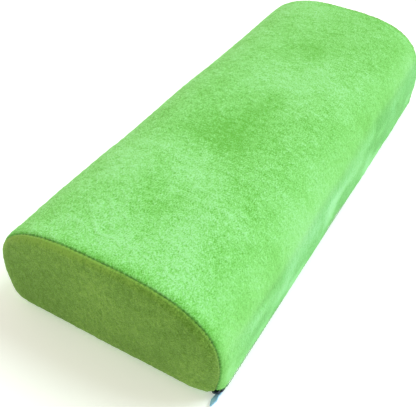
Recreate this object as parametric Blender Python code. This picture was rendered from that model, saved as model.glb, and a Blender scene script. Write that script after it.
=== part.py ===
"""Half-moon bolster pillow: a foam core in a thin liner, inside a zipped plush cover.

Frame: the origin is the centre of the flat base, +X runs along the pillow, +Z is up, and the zip
runs along X under the -Y long edge, closed, with its slider at the -X end.
"""
import math

import bmesh
import bpy
import numpy as np
from mathutils import Matrix, Vector

# --- Pillow (metres) ---
LENGTH = 0.490            # between the outer faces of the two end panels
WIDTH = 0.204             # across the base
HEIGHT = 0.100            # base to crown
CORNER_WIDTH = 0.0289     # bottom long edges are quarter ellipses: their reach along Y
CORNER_HEIGHT = 0.0123    # and their reach along Z
SHOULDER_Z = 0.0238       # the walls stand upright up to here, where the dome starts
DOME_POWER = 2.9          # exponent of the dome's superellipse
END_RADIUS = 0.0074       # rounding between the skin and the end panels
SEAM_ANGLE = math.radians(30.0)   # the end seams lie this far round that edge

# --- Layers ---
COVER_T = 0.0022          # plush cloth with its pile pressed down
LINER_T = 0.0006          # non-woven liner
GAP = 0.0003              # between pieces that touch
SEAM_HALF = 0.00065       # half of the space between two panels, filled by their thread
THREAD_R = 0.00025
THREAD_DEPTH = 0.0011     # the thread's centre below the outer skin
FINE = 0.0100             # spacing of the facets round the section

# --- Zip ---
ZIP_ANGLE = math.radians(52.0)    # place on the bottom corner's ellipse, from the base
REAR_ANGLE = math.radians(52.0)   # place of the rear bottom seam on the other corner
BAND_HALF = 0.0046        # half of the opening between the two folded hems
TAPE_EDGE = 0.0009        # half of the space between the two tapes
TAPE_W = 0.0125           # from the chain's centre line to a tape's outer edge
TAPE_T = 0.0005
HEM_SLOPE = 0.0015        # over this width the hem thickens to the full cover
POCKET = 0.0020           # relief in liner and core for the slider's inner plate
POCKET_SLOPE = 0.0028
COIL_IN = 0.0007          # inner and outer edges of a coil, from the centre line
COIL_OUT = 0.0030
COIL_T = 0.0020
CHAIN_START = 0.0002      # the top stops begin this far inside the -X end's rounding
CHAIN_END = 0.0190        # the coils end this far inside the +X end panel's face
STOP_LENGTH = 0.0023
STOP_RISE = 0.0002        # the stops stand this much higher than the coils
STITCH_S = 0.0078         # rows of stitching beside the hems
STITCH_R = 0.0002

# --- Slider and pull, in the zip's own frame: x along the chain, y across it, z outward ---
SLIDER_LENGTH = 0.0098
SLIDER_SET = 0.0003       # the closed slider's front stands this far inside the coils' ends
SLIDER_FREE = 0.0005      # the open slider stops this far short of the coils' other ends
SLIDER_HALF = 0.0040      # greatest half width of the plates
PLATE_T = 0.0010
LIP_IN = 0.0033
LIP_OUT = 0.0037
POST_HALF = 0.0004        # the divider between the two coils
POST_LENGTH = 0.0020
BRIDGE_HALF_LENGTH = 0.0032
BRIDGE_HALF_WIDTH = 0.0010
BRIDGE_T = 0.0009
PULL_LENGTH = 0.0178
PULL_T = 0.0010
EYE_HALF = 0.0014         # the eye clears the bridge
ARM_OUT = 0.0024
EYE_LENGTH = 0.0050
WAIST_HALF = 0.0017
KITE_HALF = 0.0027
PULL_RANGE_DEG = 175.0    # from lying along the chain towards -X, outward and over

# --- Values worked out from the ones above ---
LINER_DEPTH = COVER_T + GAP
CORE_DEPTH = LINER_DEPTH + LINER_T + GAP
TAPE_DEPTH = COVER_T - TAPE_T
HEM_T = TAPE_DEPTH - GAP
FLAT_HALF = WIDTH / 2 - CORNER_WIDTH
TOP_STOP_X = CHAIN_START + END_RADIUS - LENGTH / 2
COIL_START = TOP_STOP_X + STOP_LENGTH + GAP
COIL_END = LENGTH / 2 - CHAIN_END
SLIDER_X = COIL_START + SLIDER_SET + SLIDER_LENGTH / 2     # its place when closed; from here it
SLIDER_TRAVEL = COIL_END - SLIDER_FREE - SLIDER_LENGTH / 2 - SLIDER_X    # travels this far


def material(name, colour, roughness, metallic=0.0):
    """A plain Principled material."""
    mat = bpy.data.materials.new(name)
    mat.use_nodes = True
    mat.diffuse_color = (*colour, 1.0)
    shader = mat.node_tree.nodes["Principled BSDF"]
    shader.inputs["Base Color"].default_value = (*colour, 1.0)
    shader.inputs["Roughness"].default_value = roughness
    shader.inputs["Metallic"].default_value = metallic
    return mat


def section_point(t, inset):
    """(y, z) on the half-moon section, moved in by inset. t runs from 0 to 6, anticlockwise seen
    from +X: base, +Y corner, +Y wall, dome, -Y wall, -Y corner, one unit each."""
    half = WIDTH / 2 - inset
    reach = CORNER_WIDTH - inset
    rise = CORNER_HEIGHT - inset
    top = HEIGHT - SHOULDER_Z - inset
    stretch, f = int(t) % 6, t - int(t)
    if stretch == 0:
        return (2 * f - 1) * FLAT_HALF, inset
    if stretch in (1, 5):
        angle = (f if stretch == 1 else 1 - f) * math.pi / 2
        side = 1 if stretch == 1 else -1
        y = side * (FLAT_HALF + reach * math.sin(angle))
        return y, CORNER_HEIGHT - rise * math.cos(angle)
    if stretch in (2, 4):
        up = f if stretch == 2 else 1 - f
        side = 1 if stretch == 2 else -1
        return side * half, CORNER_HEIGHT + up * (SHOULDER_Z - CORNER_HEIGHT)
    c, s = math.cos(f * math.pi), math.sin(f * math.pi)
    y = half * math.copysign(abs(c) ** (2 / DOME_POWER), c)
    return y, SHOULDER_Z + top * abs(s) ** (2 / DOME_POWER)


def inward_point(t, inset, depth):
    """(y, z) moved in by inset as above, and then by depth along the section's normal."""
    step = 1e-4
    y0, z0 = section_point((t - step) % 6.0, inset)
    y1, z1 = section_point((t + step) % 6.0, inset)
    y, z = section_point(t, inset)
    run = math.hypot(y1 - y0, z1 - z0)
    return y - depth * (z1 - z0) / run, z + depth * (y1 - y0) / run


# A table of arc length round the outer section turns a distance from the zip into t.
TABLE_T = np.linspace(0.0, 6.0, 6001)
TABLE_YZ = np.array([section_point(min(t, 6.0 - 1e-9), 0.0) for t in TABLE_T])
STEPS = np.hypot(*np.diff(TABLE_YZ, axis=0).T)
TABLE_L = np.concatenate([[0.0], np.cumsum(STEPS)])
GIRTH = TABLE_L[-1]
ZIP_T = 6.0 - ZIP_ANGLE / (math.pi / 2)
REAR_T = 1.0 + REAR_ANGLE / (math.pi / 2)
ZIP_L = np.interp(ZIP_T, TABLE_T, TABLE_L)
REAR_S = ZIP_L - np.interp(REAR_T, TABLE_T, TABLE_L)


def t_at(s):
    """t at the distance s from the zip's centre line, going up over the dome."""
    return float(np.interp((ZIP_L - s) % GIRTH, TABLE_L, TABLE_T)) % 6.0


def from_zip(s):
    """Distance round the section to the zip's centre line, the shorter way."""
    s = s % GIRTH
    return min(s, GIRTH - s)


ZIP_Y, ZIP_Z = section_point(ZIP_T, 0.0)
RUN_Y, RUN_Z = np.subtract(section_point(t_at(1e-4), 0.0), section_point(t_at(-1e-4), 0.0))
ZIP_TURN = math.atan2(RUN_Z, RUN_Y)     # turns +Y onto the tape's upward direction
OUT_Y, OUT_Z = -math.sin(ZIP_TURN), math.cos(ZIP_TURN)


def sag(s):
    """How far the skin has curved away below the zip's flat plane at the distance s."""
    y, z = section_point(t_at(s), 0.0)
    return -((y - ZIP_Y) * OUT_Y + (z - ZIP_Z) * OUT_Z)


BAND_SAG = max(sag(BAND_HALF), sag(-BAND_HALF))
TAPE_TOP = -(TAPE_DEPTH + BAND_SAG)     # heights in the zip's frame, outward positive
TAPE_BOTTOM = TAPE_TOP - TAPE_T
COIL_BOTTOM = TAPE_TOP + GAP
COIL_TOP = COIL_BOTTOM + COIL_T
PLATE_BOTTOM = COIL_TOP + GAP
PLATE_TOP = PLATE_BOTTOM + PLATE_T
BAR_Z = PLATE_TOP + GAP + PULL_T / 2
BRIDGE_BOTTOM = BAR_Z + PULL_T / 2 + GAP
BRIDGE_TOP = BRIDGE_BOTTOM + BRIDGE_T
INNER_TOP = TAPE_BOTTOM - GAP
INNER_BOTTOM = INNER_TOP - PLATE_T


def ramp(d, start, width):
    """1 up to start, falling evenly to 0 over width."""
    return min(1.0, max(0.0, (start + width - d) / width))


def cover_inner(s):
    """Depth of the cover's inner face: thinner at the hem, where the tape lies behind it."""
    thin = ramp(from_zip(s), TAPE_W + GAP, HEM_SLOPE)
    return COVER_T - (COVER_T - HEM_T) * thin


def pocket(s):
    """Extra depth of liner and core behind the zip."""
    return POCKET * ramp(from_zip(s), BAND_HALF, POCKET_SLOPE)


def tape_outer(s):
    """Depth of a tape's outer face: flat in the band, then following the hem."""
    d = from_zip(s)
    return TAPE_DEPTH + (BAND_SAG - sag(s) if d < BAND_HALF else 0.0)


def section_stops():
    """Distances from the zip at which every skin has a facet edge, so that their facets lie
    parallel: the zip's own break points on both sides, and even steps elsewhere."""
    near = [TAPE_EDGE, COIL_OUT, BAND_HALF, BAND_HALF + POCKET_SLOPE,
            TAPE_W, TAPE_W + GAP, TAPE_W + GAP + HEM_SLOPE]
    first, last = near[-1], GIRTH - near[-1]
    rear = [REAR_S - SEAM_HALF, REAR_S, REAR_S + SEAM_HALF]
    up = np.linspace(first, rear[0], max(2, round((rear[0] - first) / FINE)))
    under = np.linspace(rear[2], last, max(2, round((last - rear[2]) / FINE)))
    return sorted({0.0, *near, *up, *rear, *under, *(GIRTH - d for d in near)})


STOPS = section_stops()


def stops_between(low, high):
    """The facet edges from low to high, both included."""
    inner = [s for s in STOPS if low + 1e-6 < s < high - 1e-6]
    return [low, *inner, high]


def skin_point(s, depth, extra, angle, side):
    """A point depth below the outer skin, at the distance s round the section. angle goes round
    the end's edge, from 0 on the straight skin to a right angle on the end panel; extra is a
    further depth across the section alone, which fades out round that edge."""
    radius = END_RADIUS - depth
    inset = END_RADIUS * (1 - math.cos(angle))
    y, z = inward_point(t_at(s), inset, (depth + extra) * math.cos(angle))
    return side * (LENGTH / 2 - END_RADIUS + radius * math.sin(angle)), y, z


def finish_mesh(name, bm, mat):
    """Turn a bmesh into the named object with outward faces."""
    bmesh.ops.recalc_face_normals(bm, faces=bm.faces)
    mesh = bpy.data.meshes.new(name)
    bm.to_mesh(mesh)
    bm.free()
    mesh.materials.append(mat)
    mesh.shade_smooth()
    mesh.set_sharp_from_angle(angle=math.radians(35))
    obj = bpy.data.objects.new(name, mesh)
    bpy.context.collection.objects.link(obj)
    return obj


def grid_faces(bm, rows, closed, angles=None):
    """Triangles between neighbouring rows of vertices; closed joins each row's two ends. Where
    angles are given, the row with the smaller angle leads, so that stacked layers are cut along
    the same diagonals."""
    for k, (a, b) in enumerate(zip(rows, rows[1:])):
        if angles and angles[k] > angles[k + 1]:
            a, b = b, a
        count = len(a) if closed else len(a) - 1
        for i in range(count):
            j = (i + 1) % len(a)
            bm.faces.new((a[i], a[j], b[j]))
            bm.faces.new((a[i], b[j], b[i]))


def shell(name, mat, stops, stations, outer, inner, extra=lambda s: 0.0, closed=False):
    """A curved panel between two depths, over the given stops and (side, angle) stations."""
    bm = bmesh.new()

    def rows(depth):
        return [[bm.verts.new(skin_point(s, depth(s), extra(s), angle, side)) for s in stops]
                for side, angle in stations]

    out, back = rows(outer), rows(inner)
    angles = [angle for side, angle in stations]
    grid_faces(bm, out, closed, angles)
    grid_faces(bm, back, closed, angles)
    grid_faces(bm, [out[0], back[0]], closed)
    grid_faces(bm, [out[-1], back[-1]], closed)
    if not closed:
        for i in (0, -1):
            grid_faces(bm, [[row[i] for row in out], [row[i] for row in back]], False)
    return finish_mesh(name, bm, mat)


def end_panel(name, mat, side, angles, outer, inner, extra=lambda s: 0.0):
    """A dished D-shaped panel: its flat face, its curled rim, and the same again inside."""
    bm = bmesh.new()

    def rows(depth):
        loops = [[bm.verts.new(skin_point(s, depth(s), extra(s), angle, side)) for s in STOPS]
                 for angle in angles]
        grid_faces(bm, loops, True)
        bm.faces.new(loops[-1])
        return loops[0]

    grid_faces(bm, [rows(outer), rows(inner)], True)
    return finish_mesh(name, bm, mat)


def solid_core(name, mat, stations, depth, extra):
    """A closed solid whose skin lies at one depth."""
    bm = bmesh.new()
    loops = [[bm.verts.new(skin_point(s, depth, extra(s), angle, side)) for s in STOPS]
             for side, angle in stations]
    grid_faces(bm, loops, True, [angle for side, angle in stations])
    bm.faces.new(loops[0])
    bm.faces.new(loops[-1])
    return finish_mesh(name, bm, mat)


def thread(name, mat, points, radius, cyclic):
    """Sewing thread: a round tube along the points."""
    curve = bpy.data.curves.new(name, "CURVE")
    curve.dimensions = "3D"
    curve.bevel_depth = radius
    curve.bevel_resolution = 1
    curve.use_fill_caps = not cyclic
    spline = curve.splines.new("POLY")
    spline.points.add(len(points) - 1)
    for point, place in zip(spline.points, points):
        point.co = (*place, 1.0)
    spline.use_cyclic_u = cyclic
    curve.materials.append(mat)
    obj = bpy.data.objects.new(name, curve)
    bpy.context.collection.objects.link(obj)
    return obj


def stations_to(angle, steps=2):
    """Stations from one end's angle, along the straight skin, to the other end's."""
    turn = [angle * i / steps for i in range(steps, -1, -1)]
    return [(-1, a) for a in turn] + [(1, a) for a in reversed(turn)]


def block(name, mat, low, high):
    """A box from its low corner to its high corner."""
    bm = bmesh.new()
    bmesh.ops.create_cube(bm, size=1.0)
    size = Vector(high) - Vector(low)
    middle = (Vector(high) + Vector(low)) / 2
    bmesh.ops.transform(bm, matrix=Matrix.Translation(middle) @ Matrix.Diagonal((*size, 1.0)),
                        verts=bm.verts)
    return finish_mesh(name, bm, mat)


def plate(name, mat, outline, low, high):
    """A flat plate: an outline in x and y, from low to high in z."""
    bm = bmesh.new()
    face = bm.faces.new([bm.verts.new((x, y, low)) for x, y in outline])
    raised = bmesh.ops.extrude_face_region(bm, geom=[face])
    verts = [v for v in raised["geom"] if isinstance(v, bmesh.types.BMVert)]
    bmesh.ops.translate(bm, verts=verts, vec=(0, 0, high - low))
    return finish_mesh(name, bm, mat)


def union(base, tools):
    """Join hidden tool solids onto the base with live Booleans."""
    for tool in tools:
        tool.hide_render = True
        tool.display_type = "WIRE"
        tool.parent = base
        joint = base.modifiers.new("join " + tool.name, "BOOLEAN")
        joint.operation = "UNION"
        joint.solver = "EXACT"
        joint.object = tool


def both_sides(profile):
    """An outline from (x, half width) points: along +y, and back along -y."""
    back = [(x, -half) for x, half in reversed(profile) if half > 0]
    return [(x, half) for x, half in profile] + back


def build_foam(mat):
    """The one-piece foam block, cut to the half-moon, with a relief behind the zip."""
    angles = [SEAM_ANGLE / 2, SEAM_ANGLE, SEAM_ANGLE + math.radians(30), math.pi / 2]
    turn = [0.0, *angles]
    stations = [(-1, a) for a in reversed(turn)] + [(1, a) for a in turn]
    solid_core("foam_core", mat, stations, CORE_DEPTH, pocket)


def build_liner(mat):
    """A sleeve round the core and two end panels, meeting at the end edges."""
    half = GAP / 2 / (END_RADIUS - LINER_DEPTH - LINER_T)
    outer, inner = (lambda s: LINER_DEPTH), (lambda s: LINER_DEPTH + LINER_T)
    shell("liner_wrap", mat, STOPS, stations_to(SEAM_ANGLE - half), outer, inner, pocket, True)
    angles = [SEAM_ANGLE + half, SEAM_ANGLE + math.radians(30), math.pi / 2]
    for side, word in ((-1, "left"), (1, "right")):
        end_panel("liner_end_" + word, mat, side, angles, outer, inner, pocket)


def build_cover(mat):
    """Four plush panels: the body panel over the dome, the base panel, and the two ends."""
    half = SEAM_HALF / END_RADIUS
    outer = lambda s: 0.0
    stations = stations_to(SEAM_ANGLE - half)
    wrap = stops_between(BAND_HALF, REAR_S - SEAM_HALF)
    base = stops_between(REAR_S + SEAM_HALF, GIRTH - BAND_HALF)
    shell("cover_wrap", mat, wrap, stations, outer, cover_inner)
    shell("cover_base", mat, base, stations, outer, cover_inner)
    angles = [SEAM_ANGLE + half, SEAM_ANGLE + math.radians(30), math.pi / 2]
    for side, word in ((-1, "left"), (1, "right")):
        end_panel("cover_end_" + word, mat, side, angles, outer, cover_inner)


def build_threads(mat):
    """Thread in the two end seams and the rear bottom seam, and beside the zip."""
    for side, word in ((-1, "left"), (1, "right")):
        loop = [skin_point(s, THREAD_DEPTH, 0.0, SEAM_ANGLE, side) for s in STOPS]
        thread("end_seam_thread_" + word, mat, loop, THREAD_R, True)
    short = SEAM_ANGLE - 2 * SEAM_HALF / END_RADIUS
    stations = stations_to(short)
    rear = [skin_point(REAR_S, THREAD_DEPTH, 0.0, a, side) for side, a in stations]
    thread("rear_seam_thread", mat, rear, THREAD_R, False)
    above = -(GAP + STITCH_R)
    for sign, word in ((1, "upper"), (-1, "lower")):
        line = [skin_point(sign * STITCH_S, above, 0.0, 0.0, side) for side in (-1, 1)]
        thread("zipper_stitch_" + word, mat, line, STITCH_R, False)


def build_chain(frame, tape_mat, coil_mat, metal):
    """Tapes behind the hems, the two coils on them, and the stops at the chain's ends."""
    half = SEAM_HALF / END_RADIUS
    inner = lambda s: tape_outer(s) + TAPE_T
    stations = stations_to(SEAM_ANGLE - half)
    upper = stops_between(TAPE_EDGE, TAPE_W)
    lower = stops_between(GIRTH - TAPE_W, GIRTH - TAPE_EDGE)
    shell("zipper_tape_upper", tape_mat, upper, stations, tape_outer, inner)
    shell("zipper_tape_lower", tape_mat, lower, stations, tape_outer, inner)
    stop_top = COIL_TOP + STOP_RISE
    pieces = []
    for sign, word in ((1, "upper"), (-1, "lower")):
        low_y, high_y = sorted((sign * COIL_IN, sign * COIL_OUT))
        pieces.append(block("zipper_coil_" + word, coil_mat,
                            (COIL_START, low_y, COIL_BOTTOM), (COIL_END, high_y, COIL_TOP)))
        pieces.append(block("zipper_top_stop_" + word, metal, (TOP_STOP_X, low_y, COIL_BOTTOM),
                            (TOP_STOP_X + STOP_LENGTH, high_y, stop_top)))
    far = COIL_END + GAP
    pieces.append(block("zipper_bottom_stop", metal, (far, -COIL_OUT, COIL_BOTTOM),
                        (far + STOP_LENGTH, COIL_OUT, stop_top)))
    for piece in pieces:
        piece.parent = frame


def build_slider(frame, metal):
    """One casting: outer and inner plates, divider, two flanges, and the bridge for the pull."""
    end = SLIDER_LENGTH / 2
    shield = both_sides([(-end, SLIDER_HALF - 0.0018), (0.0009 - end, SLIDER_HALF - 0.0004),
                         (0.0030 - end, SLIDER_HALF), (end - 0.0005, LIP_OUT + 0.00015),
                         (end, LIP_OUT - 0.0005)])
    slider = plate("zipper_slider", metal, shield, PLATE_BOTTOM, PLATE_TOP)
    back = plate("slider_inner_plate", metal, shield, INNER_BOTTOM, INNER_TOP)
    sunk = PLATE_T / 2
    post_x = 0.0009 - end
    post = block("slider_post", metal, (post_x, -POST_HALF, INNER_TOP - sunk),
                 (post_x + POST_LENGTH, POST_HALF, PLATE_BOTTOM + sunk))
    lips = []
    for sign, word in ((1, "upper"), (-1, "lower")):
        low_y, high_y = sorted((sign * LIP_IN, sign * LIP_OUT))
        lips.append(block("slider_lip_" + word, metal, (0.0011 - end, low_y, TAPE_TOP + GAP),
                          (end - 0.0005, high_y, PLATE_BOTTOM + sunk)))
    reach = BRIDGE_HALF_LENGTH
    width = BRIDGE_HALF_WIDTH
    beam = block("slider_bridge", metal, (-reach, -width, BRIDGE_BOTTOM), (reach, width, BRIDGE_TOP))
    feet = []
    for sign, word in ((-1, "front"), (1, "rear")):
        low_x, high_x = sorted((sign * reach * 0.9999, sign * (reach - BRIDGE_T)))
        feet.append(block("slider_foot_" + word, metal, (low_x, -width * 0.999, PLATE_TOP - sunk),
                          (high_x, width * 0.999, BRIDGE_BOTTOM + BRIDGE_T / 2)))
    slider.location = (SLIDER_X, 0.0, 0.0)
    union(slider, [back, post, *lips, beam, *feet])
    slider["travel_m"] = SLIDER_TRAVEL
    slider.parent = frame
    return slider


def build_pull(slider, metal):
    """The kite-shaped tab: its eye goes round the bridge, and its end bar lies under it. Its
    origin is on the bar's axis."""
    kite = both_sides([(-EYE_LENGTH, ARM_OUT), (-EYE_LENGTH - 0.0006, ARM_OUT),
                       (-EYE_LENGTH - 0.0024, WAIST_HALF), (-0.66 * PULL_LENGTH, KITE_HALF),
                       (0.0009 - PULL_LENGTH, 0.0008), (-PULL_LENGTH, 0.0003)])
    half_t = PULL_T / 2
    pull = plate("zipper_pull", metal, kite, -half_t, half_t)
    arms = []
    for sign, word in ((1, "upper"), (-1, "lower")):
        low_y, high_y = sorted((sign * EYE_HALF, sign * ARM_OUT * 0.9999))
        arms.append(block("pull_arm_" + word, metal, (-EYE_LENGTH - 0.0003, low_y, -half_t * 0.999),
                          (0.0, high_y, half_t * 0.999)))
    bm = bmesh.new()
    turn = Matrix.Rotation(math.pi / 2, 4, "X")
    bmesh.ops.create_cone(bm, cap_ends=True, segments=12, radius1=half_t, radius2=half_t,
                          depth=2 * ARM_OUT * 0.9998, matrix=turn)
    bar = finish_mesh("pull_bar", bm, metal)
    union(pull, [*arms, bar])
    pull.location = (0.0, 0.0, BAR_Z)
    pull["range_deg"] = PULL_RANGE_DEG
    pull.parent = slider
    return pull


def main():
    for obj in list(bpy.data.objects):
        bpy.data.objects.remove(obj)
    foam = material("foam", (0.82, 0.80, 0.70), 0.95)
    liner = material("liner", (0.85, 0.85, 0.83), 0.9)
    plush = material("plush", (0.16, 0.60, 0.08), 0.95)
    sewing = material("thread", (0.10, 0.32, 0.05), 0.8)
    woven = material("tape", (0.05, 0.06, 0.08), 0.85)
    nylon = material("coil", (0.04, 0.05, 0.07), 0.5)
    casting = material("slider_metal", (0.10, 0.12, 0.18), 0.35, 0.9)
    tab = material("pull_metal", (0.28, 0.47, 0.60), 0.3, 0.8)
    build_foam(foam)
    build_liner(liner)
    build_cover(plush)
    build_threads(sewing)
    frame = bpy.data.objects.new("zip_frame", None)
    bpy.context.collection.objects.link(frame)
    frame.location = (0.0, ZIP_Y, ZIP_Z)
    frame.rotation_euler = (ZIP_TURN, 0.0, 0.0)
    build_chain(frame, woven, nylon, casting)
    slider = build_slider(frame, casting)
    build_pull(slider, tab)


main()
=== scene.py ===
import math

import bmesh
import bpy
import numpy as np
from mathutils import Matrix, Vector


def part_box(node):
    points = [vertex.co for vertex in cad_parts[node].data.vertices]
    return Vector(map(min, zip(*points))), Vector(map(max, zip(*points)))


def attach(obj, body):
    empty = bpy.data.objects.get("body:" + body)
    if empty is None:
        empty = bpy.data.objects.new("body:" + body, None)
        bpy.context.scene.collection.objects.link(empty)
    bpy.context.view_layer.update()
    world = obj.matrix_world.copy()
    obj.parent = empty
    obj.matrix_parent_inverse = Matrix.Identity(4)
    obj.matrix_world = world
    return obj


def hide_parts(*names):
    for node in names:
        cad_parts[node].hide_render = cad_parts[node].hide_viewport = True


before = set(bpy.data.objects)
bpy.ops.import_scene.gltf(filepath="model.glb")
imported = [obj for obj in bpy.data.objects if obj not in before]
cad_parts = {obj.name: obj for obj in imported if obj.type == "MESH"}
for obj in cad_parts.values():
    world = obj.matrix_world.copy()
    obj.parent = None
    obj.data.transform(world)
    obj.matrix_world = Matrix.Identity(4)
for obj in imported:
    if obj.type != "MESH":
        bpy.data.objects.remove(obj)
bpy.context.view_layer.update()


# ---------------------------------------------------------------------------------------------
# Foam core. One block of pale open-cell foam, cut to a half-moon along its length. It gives the
# pillow its form, so the form that every other piece follows is worked out here.
# ---------------------------------------------------------------------------------------------
wrap_low, wrap_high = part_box("cover_wrap")
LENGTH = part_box("cover_end_right")[1].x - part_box("cover_end_left")[0].x
WIDTH = wrap_high.y - wrap_low.y
HEIGHT = wrap_high.z
CORNER_WIDTH = 0.0289      # the bottom long edges are quarter ellipses: reach along Y
CORNER_HEIGHT = 0.0123     # and along Z
SHOULDER_Z = 0.0238        # the walls are upright up to here
DOME_POWER = 2.9           # exponent of the dome's superellipse
EDGE_RADIUS = 0.0074       # rounding of the end edges
CORNER_RADIUS = 0.0159     # the stuffed bottom corners are rounder than that
CORNER_REACH = 0.0600      # and fade into the edges over this height
LIFT_POWER = 1.3           # how fast the lift of an end's lower edge fades with height
DRAW_IN = 0.045            # the ends' bottom corners are drawn in by this share of the width
DRAW_POWER = 0.6           # how that grows round the edge
DRAW_REACH = 0.0110        # and the height over which it fades
SEAM_ANGLE = math.radians(36.0)   # the end seams lie this far round the end edges
ZIP_ANGLE = math.radians(52.0)    # the zip's place on its bottom corner's ellipse
REAR_ANGLE = math.radians(52.0)   # the rear seam's place on the other one
HALF_LENGTH = LENGTH / 2 - EDGE_RADIUS * (1 - SEAM_ANGLE)   # from an end seam to the middle


def section(t, inset_y=0.0, inset_z=0.0):
    """(y, z) on the half-moon. t runs 0 to 6 anticlockwise seen from +X, one unit each for the
    base line, a quarter ellipse, an upright wall, a superellipse dome, the other wall and the
    other quarter ellipse. The insets shrink the width and the height."""
    t = np.asarray(t, float) % 6.0
    part, f = np.floor(t).astype(int), t % 1.0
    turn = np.where(part == 5, 1 - f, f) * math.pi / 2
    rise = np.where(part == 2, f, 1 - f)
    side = np.where((part == 1) | (part == 2), 1.0, -1.0)
    flat, half = WIDTH / 2 - CORNER_WIDTH, WIDTH / 2 - inset_y
    c, s = np.cos(f * math.pi), np.sin(f * math.pi)
    corner = (part == 1) | (part == 5)
    wall = (part == 2) | (part == 4)
    y = np.select([part == 0, corner, wall], [
        (2 * f - 1) * flat,
        side * (flat + (CORNER_WIDTH - inset_y) * np.sin(turn)),
        side * half], half * np.sign(c) * np.abs(c) ** (2 / DOME_POWER))
    z = np.select([part == 0, corner, wall], [
        inset_z + 0 * f,
        CORNER_HEIGHT - (CORNER_HEIGHT - inset_z) * np.cos(turn),
        CORNER_HEIGHT + rise * (SHOULDER_Z - CORNER_HEIGHT)],
        SHOULDER_Z + (HEIGHT - SHOULDER_Z - inset_z) * np.abs(s) ** (2 / DOME_POWER))
    return y, z


table_t = np.linspace(0.0, 6.0, 12001)
table_y, table_z = section(np.minimum(table_t, 6.0 - 1e-9))
table_length = np.append(0.0, np.cumsum(np.hypot(np.diff(table_y), np.diff(table_z))))
GIRTH = table_length[-1]
ZIP_PLACE = np.interp(6.0 - ZIP_ANGLE / (math.pi / 2), table_t, table_length)
REAR = ZIP_PLACE - np.interp(1.0 + REAR_ANGLE / (math.pi / 2), table_t, table_length)


def edge_radius(s):
    """Radius of the end's edge at the distance s round the section: larger low down."""
    t = np.interp((ZIP_PLACE - np.asarray(s, float)) % GIRTH, table_length, table_t)
    z = section(t)[1]
    return EDGE_RADIUS + (CORNER_RADIUS - EDGE_RADIUS) * np.exp(-(z / CORNER_REACH) ** 2 / 2)


def shell(angle, share, s, side):
    """Points on the pillow's skin. s is the distance round the section from the zip, up over the
    dome. angle turns round the end's edge: 0 where the straight length starts, a right angle on
    the end's flat face. share is how far along the straight length, 1 at the middle. side is -1
    for the -X end and 1 for the +X end. As the edge rounds, its lower part is lifted and its
    bottom corners are drawn in."""
    angle, share, s = np.broadcast_arrays(*(np.asarray(v, float) for v in (angle, share, s)))
    radius = edge_radius(s)
    inset = 1 - np.cos(angle)
    x = side * ((1 - share) * (LENGTH / 2 - radius) + radius * np.sin(angle))
    t = np.interp((ZIP_PLACE - s) % GIRTH, table_length, table_t)
    y, z = section(t, radius * inset, EDGE_RADIUS * inset)
    z = np.where(z > SHOULDER_Z, z, section(t, radius * inset, 0.0)[1])
    low = np.exp(-((z - CORNER_HEIGHT) / DRAW_REACH) ** 2)
    y = y * (1 - DRAW_IN * inset ** DRAW_POWER * low)
    z = z + CORNER_RADIUS * inset * np.clip(1 - z / HEIGHT, 0, 1) ** LIFT_POWER
    return np.stack([x, y, z], -1)


def skin(m, s, side):
    """Points on the skin at the distance m from the end seam towards the pillow's middle."""
    m, s = np.broadcast_arrays(np.asarray(m, float), np.asarray(s, float))
    radius = edge_radius(s)
    arc = radius * SEAM_ANGLE
    angle = np.clip(SEAM_ANGLE - m / radius, 0.0, math.pi / 2)
    share = np.clip((m - arc) / (HALF_LENGTH - arc), 0.0, 1.0)
    return shell(angle, share, s, side)


def heart(points):
    """A place well inside the pillow for each point on its skin, to tell outward from inward."""
    return points * (0.8, 0.3, 0.0) + (0.0, 0.0, 0.45 * HEIGHT)


def facing(points):
    """Outward unit normals of a grid of points: the cross product of its two gradients."""
    across = np.cross(np.gradient(points, axis=0), np.gradient(points, axis=1))
    across /= np.linalg.norm(across, axis=-1, keepdims=True) + 1e-12
    return across * np.sign(np.sum(across * (points - heart(points))))


def grid_faces(rows, columns, closed=False):
    """Quads between neighbouring points of a grid; closed joins the last column to the first."""
    i = np.arange(rows - 1)[:, None]
    j = np.arange(columns if closed else columns - 1)[None, :]
    k = (j + 1) % columns
    quads = np.stack([i * columns + j, i * columns + k, (i + 1) * columns + k,
                      (i + 1) * columns + j], -1)
    return quads.reshape(-1, 4)


def surface(name, points, material, closed=False, caps=False, values=None):
    """A mesh object from a grid of points. closed joins its columns, caps fills its first and
    last rows, and values are stored as point attributes for the material."""
    rows, columns = points.shape[:2]
    faces = grid_faces(rows, columns, closed).tolist()
    if caps:
        faces.append(list(range(columns)))
        faces.append(list(range((rows - 1) * columns, rows * columns)))
    mesh = bpy.data.meshes.new(name)
    mesh.from_pydata(points.reshape(-1, 3).tolist(), [], faces)
    for key, value in (values or {}).items():
        layer = mesh.attributes.new(key, "FLOAT", "POINT")
        layer.data.foreach_set("value", np.broadcast_to(value, (rows, columns)).ravel()
                               .astype(np.float32))
    work = bmesh.new()
    work.from_mesh(mesh)
    bmesh.ops.recalc_face_normals(work, faces=work.faces)
    work.to_mesh(mesh)
    work.free()
    mesh.shade_smooth()
    mesh.materials.append(material)
    piece = bpy.data.objects.new(name, mesh)
    bpy.context.scene.collection.objects.link(piece)
    return piece


def face_outwards(piece):
    """Turns an open panel's faces round if they look inwards."""
    mesh = piece.data
    mesh.update()
    face = mesh.polygons[len(mesh.polygons) // 2]
    centre = np.array(face.center)
    if np.dot(face.normal, heart(centre) - centre) > 0:
        mesh.flip_normals()


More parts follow.
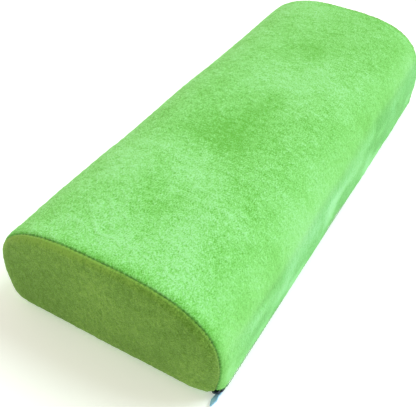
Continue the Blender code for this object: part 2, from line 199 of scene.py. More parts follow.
class Wire:
    """A shader socket. Arithmetic on it adds Math nodes, and node() adds any other node: its
    settings are the node's own properties, and its inputs are numbers, colours or other wires."""

    def __init__(self, tree, socket=None):
        self.tree, self.socket = tree, socket

    def node(self, kind, settings=None, inputs=None, out=0):
        made = self.tree.nodes.new(kind)
        for key, value in (settings or {}).items():
            if key == "stops":
                ramp = made.color_ramp.elements
                while len(ramp) < len(value):
                    ramp.new(0.5)
                for stop, (place, colour) in zip(ramp, value):
                    stop.position, stop.color = place, (*colour, 1.0)
            else:
                setattr(made, key, value)
        for key, value in (inputs or {}).items():
            if isinstance(value, Wire):
                self.tree.links.new(value.socket, made.inputs[key])
            else:
                made.inputs[key].default_value = value
        return Wire(self.tree, made.outputs[out])

    def maths(self, operation, a, b=0.0):
        return self.node("ShaderNodeMath", {"operation": operation}, {0: a, 1: b})

    def __add__(self, other):
        return self.maths("ADD", self, other)

    def __mul__(self, other):
        return self.maths("MULTIPLY", self, other)

    def __sub__(self, other):
        return self.maths("SUBTRACT", self, other)

    def __rsub__(self, other):
        return self.maths("SUBTRACT", other, self)

    __radd__, __rmul__ = __add__, __mul__

    def clamped(self):
        return self.maths("MINIMUM", self.maths("MAXIMUM", self, 0.0), 1.0)

    def blend(self, a, b):
        """Colour a where this is 0, and b where it is 1."""
        return self.node("ShaderNodeMix", {"data_type": "RGBA"}, {0: self, 6: a, 7: b}, out=2)

    def noise(self, place, scale, detail=2.0, rough=0.5):
        return self.node("ShaderNodeTexNoise", {}, {
            "Vector": place, "Scale": scale, "Detail": detail, "Roughness": rough})


def finish(name, constants):
    """A Principled material: constant values go on its own sockets. Returns the material, its
    shader node and a wire to build on."""
    made = bpy.data.materials.new(name)
    made.use_nodes = True
    shader = made.node_tree.nodes["Principled BSDF"]
    for key, value in constants.items():
        shader.inputs[key].default_value = value
    return made, shader, Wire(made.node_tree)


def connect(shader, **wires):
    """Links wires to the shader's sockets, named with underscores for spaces."""
    for key, wire in wires.items():
        wire.tree.links.new(wire.socket, shader.inputs[key.replace("_", " ")])


def rgb(red, green, blue):
    return (red, green, blue, 1.0)


FOAM_DEPTH = 0.0036        # below the skin: the cover, the liner and their gaps
FORM_STEP = 0.0060         # spacing of the points on the hidden pieces
EDGE_RINGS = 10            # rings round each end's edge
CAP_RINGS = 8              # rings over each flat end
POCKET_DEPTH = 0.0021      # relief behind the zip for the slider's inner plate
POCKET_HALF = 0.0049       # half of its width
POCKET_SLOPE = 0.0030      # and of each slope beside it


def pocket(s):
    """Extra depth beside the zip: full up to the band's half width, then falling to nothing."""
    near = np.minimum(s % GIRTH, GIRTH - s % GIRTH)
    return POCKET_DEPTH * np.clip((POCKET_HALF + POCKET_SLOPE - near) / POCKET_SLOPE, 0, 1)


def closed_form(depth):
    """The whole pillow as rings round the section at one depth: over each flat end they shrink
    towards a short line in the middle, then they run round the edge and along the length."""
    near = np.arange(0, POCKET_HALF + POCKET_SLOPE, FORM_STEP / 4)
    far = np.arange(near[-1] + FORM_STEP, GIRTH - near[-1] - FORM_STEP / 2, FORM_STEP)
    s = np.concatenate([near, far, GIRTH - near[:0:-1]])[None, :]
    edge = np.linspace(math.pi / 2, 0.0, EDGE_RINGS)
    straight = np.linspace(0.0, 1.0, 1 + round(LENGTH / 4 / FORM_STEP))
    angle = np.append(edge, 0 * straight[1:])
    share = np.append(0 * edge[1:], straight)
    left = shell(angle[:, None], share[:, None], s, -1)
    right = shell(angle[-2::-1, None], share[-2::-1, None], s, 1)
    rings = np.concatenate([left, right])
    rings = rings - facing(rings) * (depth + pocket(s))[..., None]
    shrink = np.linspace(0.97, 0.0, CAP_RINGS + 1)[:-1, None, None]
    caps = []
    for rim in (rings[0], rings[-1]):
        line = rim.copy()
        line[:, 1] = 0.98 * np.clip(rim[:, 1], -WIDTH / 4, WIDTH / 4)
        line[:, 2] = HEIGHT / 2
        caps.append(rim + (line - rim) * shrink)
    return np.concatenate([caps[0], rings, caps[1][::-1]])


foam_finish, foam_shader, w = finish("open-cell foam", {"Roughness": 0.95})
place = w.node("ShaderNodeTexCoord", out=3)
cells = w.node("ShaderNodeTexVoronoi", {}, {"Vector": place, "Scale": 900.0})
blotch = w.noise(place, 25.0, 3.0)
connect(foam_shader,
        Base_Color=(cells * 0.6 + blotch * 0.4).blend(rgb(0.50, 0.46, 0.30),
                                                      rgb(0.86, 0.82, 0.66)),
        Normal=w.node("ShaderNodeBump", {}, {"Height": cells, "Distance": 0.0006}))
foam = surface("foam_block", closed_form(FOAM_DEPTH), foam_finish, closed=True, caps=True)
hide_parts("foam_core")
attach(foam, "pillow")


# ---------------------------------------------------------------------------------------------
# Liner. A thin white non-woven bag, welded round the foam so that the plush slides over it. It
# has the small embossed dots that such cloth is bonded with.
# ---------------------------------------------------------------------------------------------
LINER_DEPTH = 0.0027       # below the skin: the cover and its gap

liner_finish, liner_shader, w = finish("bonded non-woven", {"Roughness": 0.85})
place = w.node("ShaderNodeTexCoord", out=3)
dots = w.node("ShaderNodeTexVoronoi", {}, {"Vector": place, "Scale": 650.0, "Randomness": 0.15})
pit = (dots * 2.2).clamped()
fibres = w.noise(place, 1800.0, 2.0)
connect(liner_shader,
        Base_Color=(pit * 0.7 + fibres * 0.3).blend(rgb(0.70, 0.70, 0.68),
                                                    rgb(0.90, 0.90, 0.88)),
        Normal=w.node("ShaderNodeBump", {}, {"Height": pit + fibres * 0.3, "Distance": 0.0002}))
liner = surface("liner_bag", closed_form(LINER_DEPTH), liner_finish, closed=True, caps=True)
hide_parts("liner_wrap", "liner_end_left", "liner_end_right")
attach(liner, "pillow")


# ---------------------------------------------------------------------------------------------
# Body panel. Lime green short-pile plush from the zip's hem, up over the dome, to the rear
# bottom seam. It is pulled tight over the foam, sewn to the end panels right side to right side,
# and turned, so each seam lies in a small groove. The pile is brushed both ways in patches.
# ---------------------------------------------------------------------------------------------
PILE_COUNT = 402           # points that carry the pile, once round the section
PILE_GRID = GIRTH / PILE_COUNT
FINE_GRID = 0.00025        # their spacing beside a seam
HEM_GRID = 0.00035         # and beside a hem
HEM = 0.0043               # the folded hem's distance from the zip's centre line
HEM_TURN = 0.0020          # depth to which the hem's edge turns in
HEM_REACH = 0.0009         # and the distance over which it does
GROOVE_DEPTH = 0.0012      # of a seam, at the needle holes
STITCH = 3 * PILE_GRID     # spacing of the needle holes
TUFT = 0.0004              # height of a tall tuft
REAR_SHADE = 0.0006        # width of the rear seam's shade
PATCH_STRENGTH = 0.58      # of a brushed patch, beside the noise
SOFT_SWELL = 0.0008        # broad unevenness of the stuffed cover
SOFT_DENT = 0.0004         # and a closer one
SEAM_FADE = 0.0060         # both fade out over this distance from an end seam
CAUGHT = 0.0020            # the pile is caught down this near to an end seam
CREASE_DEPTH = 0.0006
CREASE_WIDTH = 0.0055
CREASE_PLACE = 0.0545      # round from the zip, at mid-length
CREASE_CLIMB = 0.0350      # how much it climbs for each metre along X
CREASE_WANDER = 0.0030
BELOW_CREASE_EDGE = 0.0034        # softness of the edge of the band below the crease
LATTICE = np.random.default_rng(41).random((32, 32, 32))


def lumps(points, cell):
    """Smooth noise from -1 to 1: a repeating lattice of random values with the given cell size,
    joined by smoothstep steps along each axis."""
    p = points / cell
    low = np.floor(p).astype(int)
    f = p - low
    f = f * f * (3 - 2 * f)
    total = 0.0
    for a in (0, 1):
        for b in (0, 1):
            for c in (0, 1):
                corner = LATTICE[(low[..., 0] + a) % 32, (low[..., 1] + b) % 32,
                                 (low[..., 2] + c) % 32]
                weight = (np.abs(1 - a - f[..., 0]) * np.abs(1 - b - f[..., 1])
                          * np.abs(1 - c - f[..., 2]))
                total = total + corner * weight
    return 2 * total - 1


def pile(points, lay):
    """Height of the plush in metres: tufts 1.7 and 2.9 mm apart, combed into short dashes along
    lay, on a slight swell."""
    combed = points / np.asarray(lay)
    return (0.00036 * lumps(combed, 0.0017) + 0.00020 * lumps(combed + 0.5, 0.0029)
            + 0.00008 * lumps(points + 0.3, 0.0075))


def seam_groove(q, along):
    """Depth of the groove at the distance q from a seam: a narrow bell that deepens and widens
    at every needle hole, and a long shallow slope with uneven gathers."""
    hole = 0.5 + 0.5 * np.cos(2 * math.pi * along / STITCH)
    width = 0.0006 + 0.0007 * hole
    gathers = 0.00012 + 0.00030 * lumps(np.stack([along, 0 * along, 0 * along], -1), 0.0052)
    return (GROOVE_DEPTH * (0.55 + 0.55 * hole) * np.exp(-(q / width) ** 2)
            + gathers * np.exp(-q / 0.0035))


def hollow(q, along):
    """How deep in shade a point is, 0 to 1: at the needle holes, and in the fold between them."""
    hole = np.clip(np.cos(2 * math.pi * along / STITCH), 0, 1)
    width = 0.0005 + 0.0006 * hole
    uneven = 0.8 + 0.45 * lumps(np.stack([along, 0 * along, 0 * along + 0.01], -1), 0.017)
    return uneven * (0.40 + 0.35 * hole) * np.exp(-(q / width) ** 2)


def rows_to(length, finest, coarsest):
    """Distances from 0 to length that widen evenly from the finest step to the coarsest."""
    places = [0.0]
    step = finest
    while places[-1] < length:
        places.append(places[-1] + step)
        step = min(step * 1.25, coarsest)
    return np.array(places) * (length / places[-1])


# Patches where the pile lies the other way: place along X, distance round from the zip, size,
# and whether it shows deep (-) or pale (+).
PATCHES = [
    (-0.058, 0.180, 0.024, -0.9), (-0.070, 0.152, 0.018, -0.6), (-0.016, 0.153, 0.020, -0.8),
    (0.133, 0.172, 0.026, -0.7), (-0.067, 0.101, 0.016, -0.6), (-0.196, 0.106, 0.014, -0.8),
    (-0.201, 0.067, 0.015, -0.9), (-0.230, 0.064, 0.011, -0.7), (0.009, 0.124, 0.022, 1.0),
    (-0.164, 0.120, 0.020, 0.8), (-0.192, 0.130, 0.014, 0.7), (-0.138, 0.154, 0.018, 0.6),
    (-0.069, 0.056, 0.022, 0.9), (-0.012, 0.041, 0.020, 0.6)]


def nap(points, x, s):
    """How the pile is brushed, about -1 to 1: broad noise, and soft-edged patches whose outline
    the noise bends."""
    bend = 0.012 * lumps(points + 0.11, 0.030)
    value = (0.42 * lumps(points, 0.055) + 0.32 * lumps(points + 0.7, 0.024)
             + 0.13 * lumps(points + 0.2, 0.0095))
    for patch_x, patch_s, size, depth in PATCHES:
        far = np.hypot((x - patch_x + bend) / 1.3, s - patch_s + bend) / size
        value = value + PATCH_STRENGTH * depth * np.exp(-far ** 2)
    return value


def panel(m, s):
    """A grid over the whole length for a half's rows m and the columns s, with each point's
    distance from the nearer end seam and its distance round the section."""
    back = m[-2::-1]
    grid = np.concatenate([skin(m[:, None], s[None, :], -1), skin(back[:, None], s[None, :], 1)])
    q, along = np.broadcast_arrays(np.append(m, back)[:, None], s[None, :])
    return grid, q, along


m_rows = rows_to(HALF_LENGTH, FINE_GRID, PILE_GRID)
first = math.ceil((HEM + 0.005) / PILE_GRID)
last = math.floor((REAR - 0.005) / PILE_GRID)
s_rows = np.concatenate([HEM + rows_to(first * PILE_GRID - HEM, HEM_GRID, PILE_GRID)[:-1],
                         np.arange(first, last) * PILE_GRID,
                         REAR - rows_to(REAR - last * PILE_GRID, FINE_GRID, PILE_GRID)[::-1]])
base, q, along = panel(m_rows, s_rows)
x_place = base[..., 0]
inside_seam = 1 - np.exp(-(q / SEAM_FADE) ** 2)

# Below a soft crease on the zip's side, which climbs a little towards +X, the plush turns a
# cooler green, in streaks along the pillow.
crease_s = CREASE_PLACE + CREASE_CLIMB * x_place + CREASE_WANDER * lumps(base + 0.6, 0.05)
crease = (inside_seam * np.exp(-((along - crease_s) / CREASE_WIDTH) ** 2)
          * (0.75 + 0.45 * lumps(base, 0.04)))
below_crease = inside_seam / (1 + np.exp((along - crease_s) / BELOW_CREASE_EDGE))
streaks = np.clip(0.3 + 1.3 * lumps(base * np.array((0.4, 1.0, 1.0)), 0.014), 0, 1)
lying = below_crease * (0.50 - 0.18 * streaks) * np.clip((x_place + 0.245) / 0.06, 0, 1)

soft = SOFT_SWELL * lumps(base, 0.075) + SOFT_DENT * lumps(base + 0.4, 0.035)
tufts = pile(base, (1.0, 1.6, 1.6)) * (1 - 0.5 * np.exp(-(q / CAUGHT) ** 2))
height = (tufts + soft * inside_seam - CREASE_DEPTH * crease
          - seam_groove(q, along) - seam_groove(REAR - along, x_place)
          - HEM_TURN * np.exp(-((along - HEM) / HEM_REACH) ** 2))
body_points = base + facing(base) * height[..., None]
# Painted shade: the nap is darker within about 7 mm of each end seam.
body_nap_painted_shade = (nap(base, x_place, along) - 0.75 * np.exp(-(q / 0.007) ** 2)
            + below_crease * (0.9 * streaks - 0.35))
body_hollow = (hollow(q, along) + 0.6 * np.exp(-((REAR - along) / REAR_SHADE) ** 2)
               + 0.10 * crease)
body_coarse = 0.38 + 0.62 * np.clip((along - 0.058) / 0.050, 0, 1)   # smoother low on that side


def plush(name, deep, middle, pale):
    """Short-pile plush: the nap attribute, brushed patches with painted light and shade near
    the end seams, sets its tone between three greens. Tall tufts are painted paler and the pile
    between them darker, as light and shade, and fine fibre noise breaks both up where the pile
    is coarse. Where the cool band is set it turns a cooler green, and a hollow shades it."""
    made, shader, w = finish(name, {
        "Sheen Weight": 0.20, "Sheen Roughness": 0.45, "Sheen Tint": rgb(0.88, 1.0, 0.66),
        "Specular IOR Level": 0.15})
    # The nap attribute also carries painted light and shade near the end seams.
    brushing_and_painted_light = w.node("ShaderNodeAttribute", {"attribute_name": "nap"}, out=2)
    # Tuft height, which paints the pile paler on tall tufts and darker between them, as light and
    # shade.
    tuft_light_and_shade = w.node("ShaderNodeAttribute", {"attribute_name": "tuft"}, out=2)
    shade = w.node("ShaderNodeAttribute", {"attribute_name": "hollow"}, out=2)
    coarse = w.node("ShaderNodeAttribute", {"attribute_name": "coarse"}, out=2)
    lying = w.node("ShaderNodeAttribute", {"attribute_name": "lying"}, out=2)
    place = w.node("ShaderNodeTexCoord", out=3)
    fibres = w.noise(place, 740.0, 3.0, 0.6)
    strands = w.noise(w.node("ShaderNodeMapping", {}, {
        "Vector": place, "Scale": (620.0, 1150.0, 1150.0)}), 1.0, 2.0)
    grain = fibres + strands - 1.0
    tone = (brushing_and_painted_light * 0.42 + 0.5 + coarse * (grain * 1.75 + tuft_light_and_shade * 0.24)).clamped()
    colour = w.node("ShaderNodeValToRGB", {"stops": [(0.0, deep), (0.5, middle), (1.0, pale)]},
                    {"Fac": tone})
    cooler = w.node("ShaderNodeValToRGB", {"stops": [
        (0.0, (0.11, 0.46, 0.13)), (0.5, (0.19, 0.62, 0.25)), (1.0, (0.36, 0.82, 0.50))]},
        {"Fac": tone})
    lit = lying.blend(colour, cooler)
    connect(shader, Base_Color=(shade * 0.85).blend(lit, rgb(0.03, 0.11, 0.015)),
            Roughness=0.95 - tone * 0.15,
            Normal=w.node("ShaderNodeBump", {}, {
                "Height": fibres + strands, "Distance": 0.0012, "Strength": 0.8}))
    return made


body_plush = plush("lime plush", (0.155, 0.55, 0.07), (0.28, 0.77, 0.195), (0.41, 0.90, 0.38))
body = surface("plush_body", body_points, body_plush, values={
    "nap": body_nap_painted_shade, "tuft": tufts / TUFT, "hollow": body_hollow, "coarse": body_coarse,
    "lying": lying})
face_outwards(body)
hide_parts("cover_wrap")
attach(body, "pillow")


# ---------------------------------------------------------------------------------------------
# Base panel. The same plush, flat under the pillow, from the rear seam to the zip's lower hem.
# Its pile is pressed where the pillow rests on it.
# ---------------------------------------------------------------------------------------------
BASE_GRID = 0.0020         # spacing of its points, away from the seams
PRESSED_HEIGHT = 0.0030    # the pile is pressed where the skin is nearer the floor than this
PRESSED_DEPTH = 0.0004

base_m = rows_to(HALF_LENGTH, FINE_GRID, BASE_GRID)
half_width = (GIRTH - HEM - REAR) / 2
base_s = np.concatenate([REAR + rows_to(half_width, FINE_GRID, BASE_GRID),
                         GIRTH - HEM - rows_to(half_width, HEM_GRID, BASE_GRID)[-2::-1]])
under, q, along = panel(base_m, base_s)
under_x = under[..., 0]
free = np.clip(under[..., 2] / PRESSED_HEIGHT, 0.0, 1.0)
under_tufts = pile(under, (1.0, 1.6, 1.6)) * (0.35 + 0.65 * free)
under_height = (under_tufts - PRESSED_DEPTH * (1 - free)
                - seam_groove(q, along) - seam_groove(along - REAR, under_x)
                - HEM_TURN * np.exp(-((GIRTH - HEM - along) / HEM_REACH) ** 2))
under_points = under + facing(under) * under_height[..., None]
under_points[..., 2] = np.maximum(under_points[..., 2], 0.00005)     # the floor stops it
base_piece = surface("plush_base", under_points, body_plush, values={
    "nap": nap(under, under_x, along), "tuft": under_tufts / TUFT,
    "hollow": hollow(q, along) + 0.6 * np.exp(-((along - REAR) / REAR_SHADE) ** 2),
    "coarse": 0.7})
face_outwards(base_piece)
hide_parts("cover_base")
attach(base_piece, "pillow")


# ---------------------------------------------------------------------------------------------
# End panels. Two D-shaped pieces of the plush, cut with the pile laid flat. Their deeper, more
# olive green is partly that pile and partly painted shade: the shade of the -X end, which faces
# away from the key light, is painted into both. Each curls over the foam's end edge to the seam
# on top of it.
# ---------------------------------------------------------------------------------------------
END_CROWN = 0.0016         # the foam pushes each end out a little
CROWN_REACH = 0.0140       # over this distance from the seam
END_SWELL = 0.0006         # broad unevenness
RIDGE = 0.0005             # the seam allowance beneath stands up beside the seam
RIDGE_PLACE = 0.0020
RIDGE_WIDTH = 0.0012
FLAT_ROWS = 71             # rows over the flat face
MIDDLE_RING = 0.02         # the last row's size, as a share of the flat face's rim
MIDDLE_Z = 0.52 * HEIGHT   # and its height

# Darker, more olive greens: partly the laid-down pile, partly painted shade.
end_plush_and_painted_shade = plush("lime plush, end panels, painted shade", (0.098, 0.235, 0.018), (0.150, 0.318, 0.042),
                  (0.25, 0.46, 0.068))
end_s = np.arange(PILE_COUNT) * PILE_GRID
for side, word in ((-1, "left"), (1, "right")):
    # Rows run from the seam round the edge, and then straight to a small ring in the middle.
    turn = rows_to(math.pi / 2 - SEAM_ANGLE, 0.020, 0.09)[:, None]
    rim = shell(SEAM_ANGLE + turn, 0.0, end_s[None, :], side)
    edge = rim[-1]
    middle = edge * (1.0, MIDDLE_RING, MIDDLE_RING) + (0.0, 0.0, (1 - MIDDLE_RING) * MIDDLE_Z)
    inward = np.linspace(0.0, 1.0, FLAT_ROWS + 1)[1:, None]
    grid = np.concatenate([rim, edge + (middle - edge) * inward[..., None]])
    arc = edge_radius(end_s)[None, :]
    span = np.linalg.norm(middle - edge, axis=1)[None, :]
    q = np.concatenate([arc * turn, arc * turn[-1] + inward * span])
    along = end_s[None, :] + 0 * q
    outward = facing(grid)
    outward[len(turn):] = (side, 0.0, 0.0)

    end_tufts = pile(grid, (1.6, 1.0, 2.2)) * (1 - 0.5 * np.exp(-(q / CAUGHT) ** 2))
    height = (0.8 * end_tufts + END_CROWN * (1 - np.exp(-(q / CROWN_REACH) ** 1.3))
              + END_SWELL * lumps(grid, 0.05) * np.clip(q / 0.02, 0, 1)
              - seam_groove(q, along) + RIDGE * np.exp(-((q - RIDGE_PLACE) / RIDGE_WIDTH) ** 2))
    points = grid + outward * height[..., None]
    # Painted light: the nap is paler within about 7 mm of the seam towards +Y, where the end
    # curls over its edge, and just beside the seam all round.
    painted_light_rim = np.exp(-(q / 0.007) ** 2) * np.clip((grid[..., 1] + 0.06) / 0.08, 0, 1)
    end_nap_painted_light = (0.7 * nap(grid, grid[..., 1], grid[..., 2] + 0.05) + 1.5 * painted_light_rim
               + 0.5 * np.exp(-(q / 0.003) ** 2))
    end = surface("plush_end_" + word, points[::-1], end_plush_and_painted_shade, closed=True, values={
        "nap": end_nap_painted_light[::-1], "tuft": end_tufts[::-1] / TUFT,
        "hollow": hollow(q, along)[::-1], "coarse": 0.9})

    # One face closes the ring in the middle.
    work = bmesh.new()
    work.from_mesh(end.data)
    work.verts.ensure_lookup_table()
    work.faces.new([work.verts[i] for i in range(len(end_s))])
    bmesh.ops.recalc_face_normals(work, faces=work.faces)
    work.faces.ensure_lookup_table()
    if work.faces[-1].normal.x * side < 0:
        bmesh.ops.reverse_faces(work, faces=work.faces)
    work.to_mesh(end.data)
    work.free()
    end.data.shade_smooth()
    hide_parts("cover_end_" + word)
    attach(end, "pillow")


# ---------------------------------------------------------------------------------------------
# Sewing thread. Green polyester in the end seams, the rear seam and beside the zip. It lies on
# top for each stitch and dips into the cloth at the needle hole.
# ---------------------------------------------------------------------------------------------
THREAD_RADIUS = 0.00024
TOP_STITCH = 0.0029        # distance of the rows of stitching from the hems' edges
TOP_STITCH_LIFT = 0.0013   # they lie on the cloth, where the seams' thread lies in the groove


def tube(path, radius, sides=6, closed=False):
    """A round tube along a path: at each point a circle square to the path's direction."""
    ahead = (np.roll(path, -1, 0) - np.roll(path, 1, 0)) if closed else np.gradient(path, axis=0)
    ahead /= np.linalg.norm(ahead, axis=1, keepdims=True) + 1e-12
    hint = np.where(np.abs(ahead[:, :1]) > 0.9, (0.0, 0.0, 1.0), (1.0, 0.0, 0.0))
    across = np.cross(ahead, hint)
    across /= np.linalg.norm(across, axis=1, keepdims=True) + 1e-12
    up = np.cross(across, ahead)
    turn = np.arange(sides) * 2 * math.pi / sides
    ring = (across[:, None] * np.cos(turn)[None, :, None]
            + up[:, None] * np.sin(turn)[None, :, None])
    return path[:, None] + radius * ring


thread_finish, thread_shader, w = finish("green sewing thread", {
    "Specular IOR Level": 0.3, "Sheen Weight": 0.3})
place = w.node("ShaderNodeTexCoord", out=3)
ply = w.noise(place, 2600.0, 2.0)
connect(thread_shader, Base_Color=ply.blend(rgb(0.04, 0.16, 0.03), rgb(0.14, 0.42, 0.08)),
        Roughness=0.75 - ply * 0.2,
        Normal=w.node("ShaderNodeBump", {}, {"Height": ply, "Distance": 0.0001}))


def thread(name, node, path, closed):
    """One run of thread, for the CAD thread of the same seam."""
    rings = tube(path, THREAD_RADIUS, closed=closed)
    if closed:
        rings = np.concatenate([rings, rings[:1]])
    piece = surface(name, rings, thread_finish, closed=True, caps=not closed)
    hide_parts(node)
    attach(piece, "pillow")


def dip(along):
    """Depth of a thread below the skin: shallow along a stitch, deep at the needle hole."""
    return 0.0011 + 0.0008 * np.maximum(0, np.cos(2 * math.pi * along / STITCH)) ** 4


def seam_line(s, m, side, depth):
    """Points along a line on the skin, sunk by depth along the skin's normal there. The normal
    comes from a narrow strip with the line in its middle."""
    strip = np.array([-0.0004, 0.0, 0.0004])
    if np.ptp(m) > 0:
        grid = skin(m[:, None], s[:, None] + strip, side)
    else:
        grid = skin(m[:, None] + strip, s[:, None], side)
    return grid[:, 1] - facing(grid)[:, 1] * depth[:, None]


round_s = np.arange(0.0, GIRTH, STITCH / 5)
for side, word in ((-1, "left"), (1, "right")):
    line = seam_line(round_s, 0 * round_s, side, dip(round_s))
    thread("seam_thread_" + word, "end_seam_thread_" + word, line, True)

long_m = np.arange(0.002, HALF_LENGTH, STITCH / 5)
for node, s_line, lift in (("rear_seam_thread", REAR, 0.0),
                           ("zipper_stitch_upper", HEM + TOP_STITCH, TOP_STITCH_LIFT),
                           ("zipper_stitch_lower", GIRTH - HEM - TOP_STITCH, TOP_STITCH_LIFT)):
    lines = [seam_line(s_line + 0 * long_m, long_m, side, dip(side * long_m) - lift)
             for side in (-1, 1)]
    thread(node + "_stitches", node, np.concatenate([lines[0], lines[1][::-1]]), False)


# ---------------------------------------------------------------------------------------------
# Zip tapes and coils. Two woven polyester tapes behind the hems, dyed to match the plush, each
# with a nylon coil sewn along its edge. The coils' heads mesh along the middle line.
# ---------------------------------------------------------------------------------------------
TAPE_DEPTH = 0.0017        # below the skin
TAPE_T = 0.0005
TAPE_IN = 0.0006           # the tapes' edges, from the zip's centre line
TAPE_OUT = 0.0125
BAND_HALF = 0.0046         # half of the opening between the hems; the tapes lie flat across it
COIL_PITCH = 0.0015
COIL_MIDDLE = 0.0017       # the middle of a coil's turns, from the centre line
COIL_ACROSS = 0.00095      # half of a turn across the zip
COIL_RISE = 0.00068        # and square to it
COIL_LIFT = 0.0013         # a coil's middle above its tape's outer face
WIRE_RADIUS = 0.00028
zip_yz = np.array(section(6.0 - ZIP_ANGLE / (math.pi / 2)))
step_yz = np.array(section(np.interp(ZIP_PLACE - 1e-4, table_length, table_t))) - zip_yz
up_yz = step_yz / np.linalg.norm(step_yz)
out_yz = np.array([-up_yz[1], up_yz[0]])
band_y, band_z = section(np.interp(ZIP_PLACE - BAND_HALF, table_length, table_t))
BAND_SAG = -((band_y - zip_yz[0]) * out_yz[0] + (band_z - zip_yz[1]) * out_yz[1])


def zip_place(x, u, v):
    """Points in the zip's own frame: x along it, u across towards the body panel, v outward."""
    return np.stack([x + 0 * u, zip_yz[0] + u * up_yz[0] + v * out_yz[0],
                     zip_yz[1] + u * up_yz[1] + v * out_yz[1]], -1)


tape_finish, tape_shader, w = finish("woven zip tape", {"Specular IOR Level": 0.2})
place = w.node("ShaderNodeTexCoord", out=3)
ribs = w.node("ShaderNodeTexWave", {"bands_direction": "X"}, {
    "Vector": place, "Scale": 320.0, "Distortion": 0.6})
weave = ribs * 0.7 + w.noise(place, 1500.0, 2.0) * 0.3
connect(tape_shader, Base_Color=weave.blend(rgb(0.07, 0.24, 0.03), rgb(0.16, 0.42, 0.07)),
        Roughness=0.9 - weave * 0.15,
        Normal=w.node("ShaderNodeBump", {}, {"Height": weave, "Distance": 0.0002}))

coil_finish, coil_shader, w = finish("nylon coil", {"Specular IOR Level": 0.5})
place = w.node("ShaderNodeTexCoord", out=3)
worn = w.noise(place, 400.0, 3.0)
connect(coil_shader, Base_Color=worn.blend(rgb(0.06, 0.20, 0.03), rgb(0.12, 0.34, 0.06)),
        Roughness=0.32 + worn * 0.2)

tape_m = rows_to(HALF_LENGTH, 0.002, 0.004)
for sign, word in ((1, "upper"), (-1, "lower")):
    across = np.concatenate([np.linspace(TAPE_IN, BAND_HALF, 6),
                             np.linspace(0.0060, TAPE_OUT, 6)])
    columns = (sign * across) % GIRTH
    sheet = skin(np.append(tape_m, tape_m[-2::-1])[:, None], columns[None, :], -1)
    sheet[len(tape_m):, :, 0] *= -1
    y, z = section(np.interp((ZIP_PLACE - columns) % GIRTH, table_length, table_t))
    sag = -((y - zip_yz[0]) * out_yz[0] + (z - zip_yz[1]) * out_yz[1])
    depth = TAPE_DEPTH + np.where(across <= BAND_HALF, BAND_SAG - sag, 0.0)
    normal = facing(sheet)
    outer = sheet - normal * depth[None, :, None]
    inner = sheet - normal * (depth + TAPE_T)[None, :, None]
    tape = surface("zip_tape_" + word, np.concatenate([outer, inner[:, ::-1]], axis=1),
                   tape_finish, closed=True, caps=True)
    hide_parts("zipper_tape_" + word)
    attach(tape, "pillow")

    low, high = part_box("zipper_coil_" + word)
    turns = (high.x - low.x) / COIL_PITCH
    angle = np.linspace(0, turns * 2 * math.pi, int(turns * 10)) + (0 if sign > 0 else math.pi)
    x = np.linspace(low.x + WIRE_RADIUS, high.x - WIRE_RADIUS, len(angle))
    u = sign * (COIL_MIDDLE - COIL_ACROSS * np.cos(angle))
    v = COIL_LIFT - TAPE_DEPTH - BAND_SAG + COIL_RISE * np.sin(angle)
    coil = surface("zip_coil_" + word, tube(zip_place(x, u, v), WIRE_RADIUS, 5), coil_finish,
                   closed=True, caps=True)
    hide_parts("zipper_coil_" + word)
    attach(coil, "pillow")


# ---------------------------------------------------------------------------------------------
# Slider, pull and stops. The slider is a small die casting, painted dark blue-black; the pull
# is a kite-shaped tab in satin blue-grey; the stops are clamped metal.
# ---------------------------------------------------------------------------------------------
def metal(name, dark, light, metallic, roughness):
    """Painted or plated metal: its tone and gloss drift a little, with fine scratches."""
    made, shader, w = finish(name, {"Metallic": metallic})
    place = w.node("ShaderNodeTexCoord", out=3)
    cloud = w.noise(place, 180.0, 3.0)
    scratch = w.noise(w.node("ShaderNodeMapping", {}, {
        "Vector": place, "Scale": (300.0, 2600.0, 2600.0)}), 1.0, 2.0)
    drift = cloud * 0.6 + scratch * 0.4
    connect(shader, Base_Color=drift.blend(dark, light), Roughness=roughness + scratch * 0.15,
            Normal=w.node("ShaderNodeBump", {}, {"Height": scratch, "Distance": 0.00004}))
    return made


slider_finish = metal("dark cast slider", rgb(0.015, 0.022, 0.045), rgb(0.05, 0.07, 0.12),
                      0.6, 0.3)
pull_finish = metal("blue-grey pull", rgb(0.26, 0.50, 0.78), rgb(0.42, 0.68, 0.92), 0.15, 0.30)
for node, node_finish in (("zipper_slider", slider_finish), ("zipper_pull", pull_finish),
                          ("zipper_top_stop_upper", slider_finish),
                          ("zipper_top_stop_lower", slider_finish),
                          ("zipper_bottom_stop", slider_finish)):
    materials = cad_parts[node].data.materials
    materials.clear()
    materials.append(node_finish)


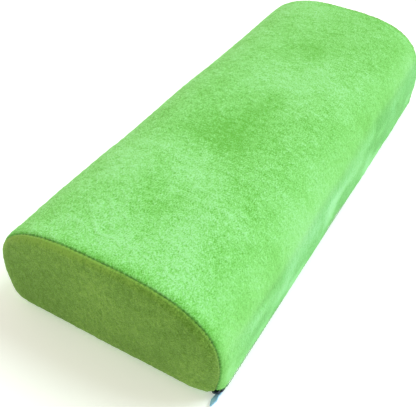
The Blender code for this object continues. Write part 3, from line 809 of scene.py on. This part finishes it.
# ---------------------------------------------------------------------------------------------
# Studio. A plain pale floor, soft light from the right and behind, and the camera.
# ---------------------------------------------------------------------------------------------
floor_finish, floor_shader, w = finish("pale floor", {
    "Roughness": 0.9, "Specular IOR Level": 0.1, "Emission Color": rgb(1.0, 1.0, 1.0),
    "Emission Strength": 0.28})
place = w.node("ShaderNodeTexCoord", out=3)
connect(floor_shader, Base_Color=w.noise(place, 6.0, 3.0).blend(rgb(0.93, 0.93, 0.93),
                                                                rgb(0.96, 0.96, 0.96)))
bpy.ops.mesh.primitive_plane_add(size=8.0, location=(0, 0, -0.0004))
floor = bpy.context.object
floor.name = "floor"
floor.data.materials.append(floor_finish)

world = bpy.data.worlds.new("studio")
bpy.context.scene.world = world
world.use_nodes = True
world.node_tree.nodes["Background"].inputs["Color"].default_value = rgb(1.0, 0.95, 0.84)
world.node_tree.nodes["Background"].inputs["Strength"].default_value = 0.57



def sun(name, strength, spread, colour, towards):
    """A soft distant light. towards points from the pillow to it."""
    light = bpy.data.lights.new(name, "SUN")
    light.energy, light.angle, light.color = strength, math.radians(spread), colour
    lamp = bpy.data.objects.new(name, light)
    bpy.context.scene.collection.objects.link(lamp)
    lamp.rotation_euler = Vector(towards).to_track_quat("Z", "Y").to_euler()


sun("key", 2.12, 35, (0.80, 1.0, 1.0), (0.55, -0.45, 0.85))
sun("fill", 0.42, 70, (1.0, 0.90, 0.50), (-0.25, 0.75, 0.60))

CAMERA_PLACE = (-0.4692, -0.2068, 0.4244)
CAMERA_TURN = math.radians(-64.67)    # from looking along +Y
CAMERA_DROP = math.radians(42.92)     # below the horizon
CAMERA_ROLL = math.radians(4.77)
camera_data = bpy.data.cameras.new("camera")
camera_data.sensor_width = 36.0
camera_data.lens = 55.0
camera_data.shift_x, camera_data.shift_y = -0.0575, 0.0330
camera = bpy.data.objects.new("camera", camera_data)
bpy.context.scene.collection.objects.link(camera)
camera.matrix_world = (Matrix.Translation(CAMERA_PLACE)
                       @ Matrix.Rotation(CAMERA_TURN, 4, "Z")
                       @ Matrix.Rotation(math.pi / 2 - CAMERA_DROP, 4, "X")
                       @ Matrix.Rotation(CAMERA_ROLL, 4, "Z"))
bpy.context.scene.camera = camera
bpy.context.scene.view_settings.view_transform = "Standard"
